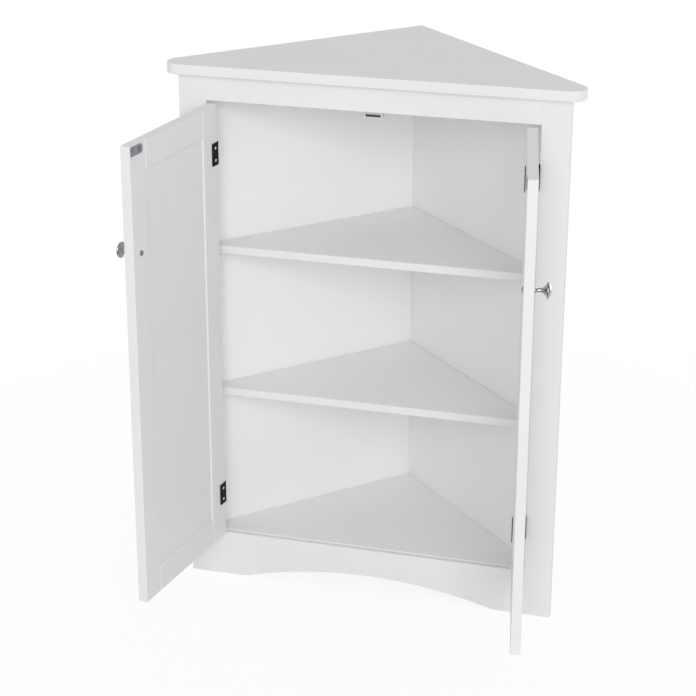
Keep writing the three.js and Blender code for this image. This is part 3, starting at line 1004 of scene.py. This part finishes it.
@dataclass
class Carcass:
    """The fixed boards: top, sides, face frame, floor and shelves. Pins are in millimetres.

    A shelf listed for a plain front keeps the plain enamel on the faces whose normal's Y is under its turn
    value; its other faces and the other inner boards carry the enamel written lighter as painted light for
    their shade.
    """

    body: str = "cabinet"
    boards: dict[str, tuple[Easing, Finish]] = field(default_factory=lambda: {
        "top_board": (Easing.AS_CUT, Finish.ENAMEL),
        "left_stile": (Easing.CRISP, Finish.ENAMEL),
        "right_stile": (Easing.CRISP, Finish.ENAMEL),
        "top_rail": (Easing.CRISP, Finish.ENAMEL),
        "bottom_rail": (Easing.CRISP, Finish.ENAMEL),
        # The side panels, floor and shelves inside take the enamel written lighter as painted light for their
        # shade.
        "left_side_panel": (Easing.CRISP, Finish.INNER_ENAMEL),
        "right_side_panel": (Easing.AS_CUT, Finish.INNER_ENAMEL),
        "floor_board": (Easing.SANDED, Finish.INNER_ENAMEL),
        "lower_shelf": (Easing.SOFT, Finish.INNER_ENAMEL),
        "upper_shelf": (Easing.SOFT, Finish.INNER_ENAMEL),
    })
    # Shelves whose front edge keeps the plain enamel, beside the painted-light enamel on the rest of each
    # shelf.
    banded: tuple[str, ...] = ("lower_shelf", "upper_shelf")
    banded_turn: float = -0.7
    pins_a_side: int = 4
    pin_radius: float = 2.5
    pin_length: float = 17.0
    pin_round: float = 0.8
    pin_steps: int = 24
    round_steps: int = 4

    def build(self) -> None:
        """Makes the boards and the shelf pins."""
        for node, (easing, finish) in self.boards.items():
            made = dressed(node, self.body, easing.value, finish)
            if node in self.banded:
                self.band(made)
        self.pins()

    def band(self, shelf: Piece) -> None:
        """Gives a shelf's front edge the plain enamel, and leaves the rest in the enamel written lighter as
        painted light.

        Args:
            shelf: The shelf, in the painted-light enamel.
        """
        # The shelf comes in the enamel lightened as painted light; the plain enamel goes in first, for the
        # front.
        inner = shelf.data.materials[0]
        Finish.ENAMEL.on(shelf)
        shelf.data.materials.append(inner)
        for face in shelf.data.polygons:
            # Forward-facing faces keep the plain enamel; all others take the painted-light enamel.
            face.material_index = int(face.normal.y > self.banded_turn)

    def pins(self) -> None:
        """Turns one shelf pin and sets a copy in each hole."""
        half, soft = self.pin_length / 2, self.pin_round
        tip = arc((self.pin_radius - soft, half - soft), soft, 0, 90, self.round_steps)
        master = Bench.ease(Bench.spun("pin_master", in_metres(spindle(tip, half)), self.pin_steps), 0)
        for side in Side:
            for number in range(1, self.pins_a_side + 1):
                node = f"shelf_pin_{side.word}_{number}"
                low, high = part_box(node)
                place = facing((low + high) / 2, Vector((side.value, -1, 0)))
                fit(Bench.repeat(master, f"{node}_turned", place), self.body, Finish.ZINC, node)
        Bench.discard(master)


@dataclass
class Catch:
    """The magnetic catch behind the top rail. A part has a manner, a rounding in metres and a finish."""

    body: str = "cabinet"
    parts: dict[str, tuple[str, float, Finish]] = field(default_factory=lambda: {
        "catch_housing": ("moulded", 0.0004, Finish.PLASTIC),
        "catch_magnet": ("pressed", 0.0003, Finish.FERRITE),
        "catch_pole_lower": ("pressed", 0.0002, Finish.NICKEL),
        "catch_pole_upper": ("pressed", 0.0002, Finish.NICKEL),
    })
    screw: Screw = field(default_factory=lambda: Screw(3.0, 1.6, 0.5, (1.5, 9.0), 1.5))

    def build(self) -> None:
        """Makes the housing, the magnet with its plates, and the screws."""
        for node, (manner, radius, finish) in self.parts.items():
            dressed(node, self.body, radius, finish, manner)
        master = self.screw.build("catch_screw_master")
        for side in Side:
            node = f"catch_screw_{side.word}"
            low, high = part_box(node)
            seat = (low + high) / 2
            seat.y = high.y - self.screw.head_height * MM
            place = facing(seat, Vector((0, 1, 0)))
            fit(Bench.repeat(master, f"{node}_crossed", place), self.body, Finish.ZINC, node)
        Bench.discard(master)


@dataclass
class Hinge:
    """A black butt hinge whose door leaf wraps onto the door's inner face.

    Sizes are in millimetres from the pin's axis: across to the door, back into the cupboard, and up from
    the hinge's middle. Tolerance is how close to a plate's free end its points are looked for.
    """

    height: float = 33.0
    knuckles: int = 5
    play: float = 0.3
    barrel: float = 2.6
    bore: float = 1.6
    knuckle_round: float = 0.25
    tab_in: float = 0.35
    tab_over: float = 0.1
    pin: float = 1.3
    tip_radius: float = 2.4
    tip_height: float = 2.6
    tip_round: float = 1.8
    thickness: float = 1.0
    jamb_face: float = -1.5
    jamb_depth: float = 14.4
    door_face: float = 1.2
    wrap_back: float = 18.2
    wrap_end: float = 18.0
    bend_inside: float = 0.3
    corner: float = 2.2
    arris: float = 0.12
    tolerance: float = 0.1
    screw_spacing: float = 17.8
    screw_in: float = 8.1
    hole: float = 1.2
    sink: Point = (2.4, 0.75)
    screw: Screw = field(default_factory=lambda: Screw(2.3, 0.4, 0.05, (1.0, 6.0), 1.15, 0.7))
    steps: int = 32
    hole_steps: int = 24
    round_steps: int = 6
    arris_steps: int = 2

    @property
    def jamb_middle(self) -> float:
        """How far back the middle of the frame leaf's plate is."""
        return (self.barrel + self.jamb_depth) / 2

    def spots(self, on_door: bool) -> list[Matrix]:
        """The places of a leaf's two screws on its plate, lower one first.

        Args:
            on_door: Whether the leaf is the door's.

        Returns:
            The places, round the pin's axis.
        """
        if on_door:
            across, back, outward = self.door_face + self.screw_in, self.wrap_back, Vector((0, 1, 0))
        else:
            across, back, outward = self.jamb_face + self.thickness, self.jamb_middle, Vector((1, 0, 0))
        rises = (-self.screw_spacing / 2, self.screw_spacing / 2)
        return [facing(Vector((across, back, rise)) * MM, outward) for rise in rises]

    def rings(self, on_door: bool) -> list[Piece]:
        """The knuckles of one leaf, and the tabs that tie them to its plate.

        Args:
            on_door: Whether the leaf is the door's.

        Returns:
            The knuckles and tabs, each a closed solid.
        """
        length = (self.height - (self.knuckles - 1) * self.play) / self.knuckles
        near = self.door_face - self.thickness if on_door else self.jamb_face
        inner, outer, soft = self.bore, self.barrel, self.knuckle_round
        made = []
        for number in range(int(on_door), self.knuckles, 2):
            bottom = -self.height / 2 + number * (length + self.play)
            top = bottom + length
            loop = [(inner, bottom), (outer - soft, bottom), (outer, bottom + soft),
                    (outer, top - soft), (outer - soft, top), (inner, top)]
            low = Vector((near, inner + self.tab_in, bottom))
            high = Vector((near + self.thickness, outer + self.play + self.tab_over, top))
            made.append(Bench.spun("knuckle", in_metres(loop), self.steps, closed=True))
            made.append(Bench.block("tab", low * MM, high * MM))
        return made

    def leaf(self, name: str, outline: Sequence[Point], on_door: bool, free: Test) -> Piece:
        """A leaf: its plate, with countersunk holes and two rounded corners, and its knuckles.

        Args:
            name: The leaf's name.
            outline: The plate's outline in plan.
            on_door: Whether it is the door's leaf.
            free: Says of a point in metres whether it is at the plate's free end.

        Returns:
            The leaf round its pin's axis.
        """
        half = self.height / 2 * MM
        plate = Bench.prism(name, in_metres(outline), -half, half)

        def at_corner(a: Vector, b: Vector) -> bool:
            """Whether an edge runs through the plate's thickness at a free corner."""
            tiny = Bench.MERGE
            return free(a) and free(b) and abs(abs(a.z) - half) < tiny and abs(a.z - b.z) < tiny

        Bench.chamfer(plate, at_corner, self.corner * MM, self.round_steps)
        wide, deep = self.sink
        over = self.thickness
        bit = [(0, -over * 2), (self.hole, -over * 2), (self.hole, -deep), (wide, 0), (wide, over), (0, over)]
        for spot in self.spots(on_door):
            Bench.cut(plate, Bench.place(Bench.spun("bit", in_metres(bit), self.hole_steps), spot))
        return Bench.ease(Bench.join(name, [plate, *self.rings(on_door)]), self.arris * MM, self.arris_steps)

    def frame_leaf(self) -> Piece:
        """The leaf on the stile's inner edge.

        Returns:
            The leaf round its pin's axis.
        """
        near, far = self.jamb_face, self.jamb_face + self.thickness
        start, end = self.barrel + self.play, self.jamb_depth
        outline = [(near, start), (far, start), (far, end), (near, end)]
        return self.leaf("frame_leaf_master", outline, False, lambda p: p.y > (end - self.tolerance) * MM)

    def door_leaf(self) -> Piece:
        """The leaf down the door's edge and round onto its inner face.

        Returns:
            The leaf round its pin's axis.
        """
        near, far = self.door_face - self.thickness, self.door_face
        start, back, end = self.barrel + self.play, self.wrap_back, self.wrap_end
        bend = self.thickness + self.bend_inside
        outline = [(far, start), (far, back - self.thickness), (end, back - self.thickness), (end, back),
                   *arc((near + bend, back - bend), bend, 90, 180, self.round_steps), (near, start)]
        return self.leaf("door_leaf_master", outline, True, lambda p: p.x > (end - self.tolerance) * MM)

    def pin_master(self) -> Piece:
        """The pin with its two rounded tips.

        Returns:
            The pin, upright.
        """
        start = self.height / 2 + self.play
        end, soft = start + self.tip_height, self.tip_round
        tip = [(self.pin, start), (self.tip_radius, start),
               *arc((self.tip_radius - soft, end - soft), soft, 0, 90, self.round_steps)]
        return Bench.ease(Bench.spun("pin_master", in_metres(spindle(tip, end)), self.steps), 0)

    def build(self) -> None:
        """Models one hinge and hangs a copy at each of the four places."""
        masters = {"frame_leaf": self.frame_leaf(), "door_leaf": self.door_leaf(), "pin": self.pin_master(),
                   "screw": self.screw.build("hinge_screw_master")}
        for joint in frame["joints"]:
            for level in ("upper", "lower"):
                self.hang(joint, level, masters)
        Bench.discard(*masters.values())

    def hang(self, joint: dict[str, Any], level: str, masters: dict[str, Piece]) -> None:
        """Places one hinge and its screws.

        Args:
            joint: The door's joint.
            level: upper or lower.
            masters: The leaves, the pin and the screw.
        """
        word = Side.of(joint).word
        low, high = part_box(f"{word}_{level}_hinge_frame_leaf")
        middle = Matrix.Translation((0, 0, (low.z + high.z) / 2))
        bodies = {True: f"{word}_door", False: "cabinet"}
        for part in ("frame_leaf", "door_leaf", "pin"):
            node = f"{word}_{level}_hinge_{part}"
            on_door = part == "door_leaf"
            made = Bench.repeat(masters[part], f"{node}_pressed", swing(joint, on_door) @ middle)
            fit(made, bodies[on_door], Finish.BLACK, node)
        for on_door, plate in ((True, "wrap"), (False, "jamb")):
            for number, spot in enumerate(self.spots(on_door), 1):
                name = f"{word}_{level}_hinge_{plate}_screw_{number}"
                made = Bench.repeat(masters["screw"], name, swing(joint, on_door) @ middle @ spot)
                fit(made, bodies[on_door], Finish.NICKEL)


@dataclass
class Strike:
    """A strike plate with two rounded corners. Its sizes are in millimetres.

    Attributes:
        length: Its length, away from the door's edge.
        height: Its height.
        thickness: Its thickness.
        corner: Radius of its corners.
        arris: Width of the rounding along its edges.
        corner_steps: Chords round a corner.
    """

    length: float = 28.5
    height: float = 12.8
    thickness: float = 1.0
    corner: float = 5.0
    arris: float = 0.3
    corner_steps: int = 8

    def build(self, name: str) -> Piece:
        """Presses the plate, with its square end at the origin and its seat on the ground.

        Args:
            name: The plate's name.

        Returns:
            The plate.
        """
        soft, far, half = self.corner, self.length - self.corner, self.height / 2
        outline = [(0, -half), *arc((far, soft - half), soft, -90, 0, self.corner_steps),
                   *arc((far, half - soft), soft, 0, 90, self.corner_steps), (0, half)]
        return Bench.ease(Bench.prism(name, in_metres(outline), 0, self.thickness * MM), self.arris * MM)


@dataclass
class Fittings:
    """What both doors carry, each thing modelled once. The fields have the words of its CAD nodes."""

    knob: Knob = field(default_factory=Knob)
    knob_screw: Screw = field(default_factory=lambda: Screw(4.0, 2.2, 0.5, (2.0, 22.0), 1.9))
    strike_plate: Strike = field(default_factory=Strike)
    strike_screw: Screw = field(default_factory=lambda: Screw(3.0, 1.4, 0.25, (1.5, 9.0), 1.5))

    def build(self) -> dict[str, Piece]:
        """The masters, each with its seat at the origin, by the words of their CAD nodes."""
        return {part.name: getattr(self, part.name).build(f"{part.name}_master") for part in fields(self)}


@dataclass
class Door:
    """A framed door.

    Sizes are in millimetres from the hinge pin, with the door shut: along the door, back through it, and up
    from the floor. Seat is the play that the CAD leaves between pieces, slack what is kept of it, and
    tolerance how close to a line the points on it are looked for.
    """

    joint: dict[str, Any]
    fittings: Fittings
    front: float = 2.9
    back: float = 16.9
    hinge_edge: float = 1.5
    free_edge: float = 234.0
    stile_width: float = 40.0
    arris: float = 0.8
    wide_arris: float = 1.25
    end_arris: float = 1.05
    panel_faces: Point = (8.4, 14.4)
    tongue: float = 5.5
    tongue_play: float = 0.5
    tolerance: float = 0.05
    slack: float = 0.02
    seat: float = 0.3
    knob_along: float = 214.0
    knob_height: float = 593.5
    strike_from_edge: float = 2.5
    strike_top: float = 743.6
    strike_screw_in: float = 8.0

    @property
    def word(self) -> str:
        """The door's side, as the CAD nodes spell it."""
        return Side.of(self.joint).word

    @property
    def body(self) -> str:
        """The body the door's pieces ride on."""
        return f"{self.word}_door"

    @property
    def inner_edges(self) -> dict[str, tuple[float, int]]:
        """Where each stile's inner edge is along the door, and the way from there to the panel."""
        wide = self.stile_width
        return {"hinge": (self.hinge_edge + wide, 1), "meeting": (self.free_edge - wide, -1)}

    def build(self, masters: dict[str, Piece]) -> None:
        """Makes the frame and the panel, and hangs the fittings.

        Args:
            masters: The fittings' masters, by the words of their CAD nodes.
        """
        for which in self.inner_edges:
            self.stile(which)
        for which in ("top", "bottom"):
            self.rail(which)
        self.panel()
        self.hang_fittings(masters)

    def line(self, along: float | None, depth: float | None) -> Test:
        """A test for the points on one upright line of the shut door, or on one face.

        Args:
            along: Where the line is along the door, or None for anywhere.
            depth: Where it is back through the door, or None for anywhere.

        Returns:
            The test for a point in metres.
        """
        def on_line(point: Vector) -> bool:
            """Whether a point in metres is on the line."""
            pairs = ((point.x, along), (point.y, depth))
            return all(place is None or abs(found / MM - place) < self.tolerance for found, place in pairs)

        return on_line

    def shift(self, obj: Piece, wanted: Test, along: float = 0.0, back: float = 0.0) -> None:
        """Shifts a board's wanted vertices along the door and back through it."""
        Bench.nudge(obj, swing(self.joint, True), wanted, Vector((along, back, 0)) * MM)

    def board(self, node: str) -> Piece:
        """A copy of one of the door's CAD boards, to be shaped."""
        return Bench.copy_of(node, f"{node}_painted")

    def painted(self, obj: Piece, easing: Easing, node: str) -> None:
        """Rounds over, paints and hangs one of the door's boards."""
        fit(Bench.ease(obj, easing.value), self.body, Finish.ENAMEL, node)

    def stile(self, which: str) -> None:
        """Makes the hinge or the meeting stile, with wide arrises along its inner edge.

        Args:
            which: hinge or meeting.
        """
        node = f"{self.body}_{which}_stile"
        obj = self.board(node)
        inner, inwards = self.inner_edges[which]
        more = self.wide_arris - self.arris
        for face, way in ((self.front, 1), (self.back, -1)):
            self.shift(obj, self.line(inner - inwards * self.arris, face), along=-inwards * more)
            self.shift(obj, self.line(inner, face + way * self.arris), back=way * more)
        self.painted(obj, Easing.CRISP, node)

    def rail(self, which: str) -> None:
        """Makes the top or bottom rail, pushed home between the stiles, with an arris at both ends.

        Args:
            which: top or bottom.
        """
        node = f"{self.body}_{which}_rail"
        obj = self.board(node)
        home = self.seat - self.slack
        ends = []
        for inner, inwards in self.inner_edges.values():
            self.shift(obj, self.line(inner + inwards * self.seat, None), along=-inwards * home)
            tongue_reach = self.tongue_play - self.slack
            self.shift(obj, self.line(inner - inwards * self.tongue, None), along=-inwards * tongue_reach)
            ends += [self.line(inner + inwards * self.slack, face) for face in (self.front, self.back)]
        self.seat_panel(obj)
        back = swing(self.joint, True).inverted()

        def at_end(a: Vector, b: Vector) -> bool:
            """Whether an edge is the upright arris of an end."""
            return any(end(back @ a) and end(back @ b) for end in ends)

        Bench.chamfer(obj, at_end, self.end_arris * MM, 1)
        self.painted(obj, Easing.AS_CUT, node)

    def seat_panel(self, obj: Piece) -> None:
        """Closes the play between the panel and its grooves, on either board of the two."""
        for face, way in zip(self.panel_faces, (-1, 1)):
            self.shift(obj, self.line(None, face), back=way * (self.seat - self.slack))

    def panel(self) -> None:
        """Makes the panel, with its faces against the lips of the grooves."""
        node = f"{self.body}_panel"
        obj = self.board(node)
        self.seat_panel(obj)
        self.painted(obj, Easing.CRISP, node)

    def hang_fittings(self, masters: dict[str, Piece]) -> None:
        """Hangs copies of the knob, the strike plate and their screws on the door's two faces.

        Args:
            masters: The fittings' masters, by the words of their CAD nodes.
        """
        plate = self.fittings.strike_plate
        outside, inside = self.front - self.seat, self.back + self.seat
        on_plate = inside + plate.thickness + self.seat
        edge, middle = self.free_edge - self.strike_from_edge, self.strike_top - plate.height / 2
        screwed = edge - plate.length + self.strike_screw_in
        spots = {
            "knob": ("turned", (self.knob_along, outside, self.knob_height), -1, Finish.CHROME),
            "knob_screw": ("crossed", (self.knob_along, inside, self.knob_height), 1, Finish.ZINC),
            "strike_plate": ("pressed", (edge, inside, middle), 1, Finish.ZINC),
            "strike_screw": ("crossed", (screwed, on_plate, middle), 1, Finish.ZINC),
        }
        for word, (manner, at, outward, finish) in spots.items():
            node = f"{self.word}_{word}"
            place = swing(self.joint, True) @ facing(Vector(at) * MM, Vector((0, outward, 0)))
            fit(Bench.repeat(masters[word], f"{node}_{manner}", place), self.body, finish, node)


@dataclass
class Studio:
    """The pale floor, the soft lights and the camera.

    Places are in metres, the turn in degrees, and the camera's centre and lens in pixels of the photograph.
    A card has its middle, its normal and its size. A lamp has its place, its size and its power in watts.
    """

    floor_size: Point = (60.0, 60.0)
    floor_shade: Colour = (0.86, 0.86, 0.86)
    white: Colour = (1.0, 1.0, 1.0)
    black: Colour = (0.01, 0.01, 0.01)
    fade: Point = (0.35, 1.3)
    clean: float = 0.9
    daylight: Colour = (0.98, 0.99, 1.0)
    daylight_strength: float = 0.64
    eye: Place = (0.63152, -2.49421, 1.45166)
    turn: Place = (15.49, 20.9, -0.01)
    lens_pixels: float = 1914.96
    centre: Point = (335.36, 292.97)
    frame_pixels: float = 696.0
    sensor: float = 36.0
    clip: Point = (0.05, 200.0)
    flags: dict[str, tuple[Place, Place, Point]] = field(default_factory=lambda: {
        "ceiling_flag": ((0.3, -0.4, 3.2), (0, 0, 1), (5.0, 4.6)),
        "floor_flag": ((0.3, -1.9, 0.03), (0, 0, 1), (3.4, 2.6)),
        "left_flag": ((-2.4, 0.1, 1.6), (1, 0, 0), (1.2, 3.1)),
        "right_flag": ((2.4, 0.1, 1.6), (1, 0, 0), (1.2, 3.1)),
    })
    lamps: dict[str, tuple[Place, Point, float]] = field(default_factory=lambda: {
        "key_light": ((1.92, -6.37, 2.96), (3.84, 3.84), 200.0),
        "left_back_light": ((-2.8, 3.2, 0.42), (3.0, 0.8), 26.0),
        "right_back_light": ((2.8, 3.2, 0.42), (3.0, 0.8), 26.0),
    })
    aim: Place = (0, -0.05, 0.4)

    def build(self) -> None:
        """Makes the camera, the floor, the world and the lights."""
        self.camera()
        self.floor()
        self.world()
        for name, (at, size, power) in self.lamps.items():
            self.lamp(name, Vector(at), size, power)
        for name, (at, outward, size) in self.flags.items():
            self.flag(name, facing(Vector(at), Vector(outward)), size)
        bpy.context.scene.view_settings.view_transform = "Standard"

    def camera(self) -> None:
        """Sets the camera at the photograph's angle."""
        data = bpy.data.cameras.new("photo_camera")
        camera = bpy.data.objects.new("photo_camera", data)
        bpy.context.scene.collection.objects.link(camera)
        yaw, pitch, roll = (math.radians(v) for v in self.turn)
        back = Vector((math.sin(yaw) * math.cos(pitch), -math.cos(yaw) * math.cos(pitch), math.sin(pitch)))
        level = Vector((math.cos(yaw), math.sin(yaw), 0))
        up = back.cross(level)
        right = level * math.cos(roll) + up * math.sin(roll)
        top = up * math.cos(roll) - level * math.sin(roll)
        turned = Matrix((right, top, back)).transposed().to_4x4()
        camera.matrix_world = Matrix.Translation(Vector(self.eye)) @ turned
        data.sensor_width = self.sensor
        data.lens = self.lens_pixels / self.frame_pixels * self.sensor
        half = self.frame_pixels / 2
        data.shift_x = (half - self.centre[0]) / self.frame_pixels
        data.shift_y = (self.centre[1] - half) / self.frame_pixels
        data.clip_start, data.clip_end = self.clip
        bpy.context.scene.camera = camera

    @staticmethod
    def sheet(name: str, size: Point, place: Matrix, material: bpy.types.Material) -> Piece:
        """A flat sheet of the stage.

        Args:
            name: The sheet's name.
            size: Its width and height.
            place: Where it goes.
            material: What it is covered in.

        Returns:
            The sheet.
        """
        Bench.clear()
        bpy.ops.mesh.primitive_plane_add(size=1, location=(0, 0, 0))
        obj = Bench.place(bpy.context.active_object, place @ Matrix.Diagonal((*size, 1, 1)))
        obj.name = name
        obj.data.materials.append(material)
        return obj

    def floor(self) -> None:
        """Lays a pale floor that fades into the white world and keeps a faint shadow."""
        tree = Tree(bpy.data.materials.new("pale_floor"))
        length = tree.node("ShaderNodeVectorMath", {"operation": "LENGTH"}, {0: tree.place()})
        away = Signal(tree, length.outputs["Value"]).step(*self.fade)
        bright = tree.flat("BsdfDiffuse", self.white)
        glow = tree.flat("Emission", self.white, Strength=1.0)
        looked = tree.mix(away * (1 - self.clean) + self.clean, bright, glow)
        tree.end(tree.mix(tree.seen(), tree.flat("BsdfDiffuse", self.floor_shade), looked))
        self.sheet("floor", self.floor_size, Matrix.Identity(4), tree.owner)

    def world(self) -> None:
        """Surrounds the scene with even light, and with white where the camera or a mirror looks."""
        tree = Tree(bpy.data.worlds.new("studio_world"), "World")
        even = tree.flat("Background", self.daylight, Strength=self.daylight_strength)
        tree.end(tree.mix(tree.seen(), even, tree.flat("Background", self.white, Strength=1.0)))
        bpy.context.scene.world = tree.owner

    def flag(self, name: str, place: Matrix, size: Point) -> None:
        """Hangs a black card that only polished metal sees.

        Args:
            name: The card's name.
            place: Its middle and its turn.
            size: Its width and height.
        """
        tree = Tree(bpy.data.materials.new(name))
        tree.end(tree.flat("BsdfDiffuse", self.black))
        card = self.sheet(name, size, place, tree.owner)
        card.visible_camera = card.visible_diffuse = card.visible_shadow = False
        card.visible_transmission = card.visible_volume_scatter = False

    def lamp(self, name: str, at: Vector, size: Point, power: float) -> None:
        """Hangs a soft rectangular lamp that faces the cupboard.

        Args:
            name: The lamp's name.
            at: Where it hangs.
            size: Its width and height.
            power: Its power in watts.
        """
        data = bpy.data.lights.new(name, "AREA")
        data.shape = "RECTANGLE"
        data.size, data.size_y = size
        data.energy = power
        lamp = bpy.data.objects.new(name, data)
        bpy.context.scene.collection.objects.link(lamp)
        lamp.matrix_world = facing(at, at - Vector(self.aim))


def main() -> None:
    """Builds the scene, sub-assembly by sub-assembly."""
    logging.basicConfig(level=logging.INFO, format="%(message)s")
    bpy.context.scene.cursor.location = (0, 0, 0)
    Studio().build()
    Carcass().build()
    fittings = Fittings()
    masters = fittings.build()
    for joint in frame["joints"]:
        Door(joint, fittings).build(masters)
    Bench.discard(*masters.values())
    Hinge().build()
    Catch().build()


if __name__ == "__main__":
    main()
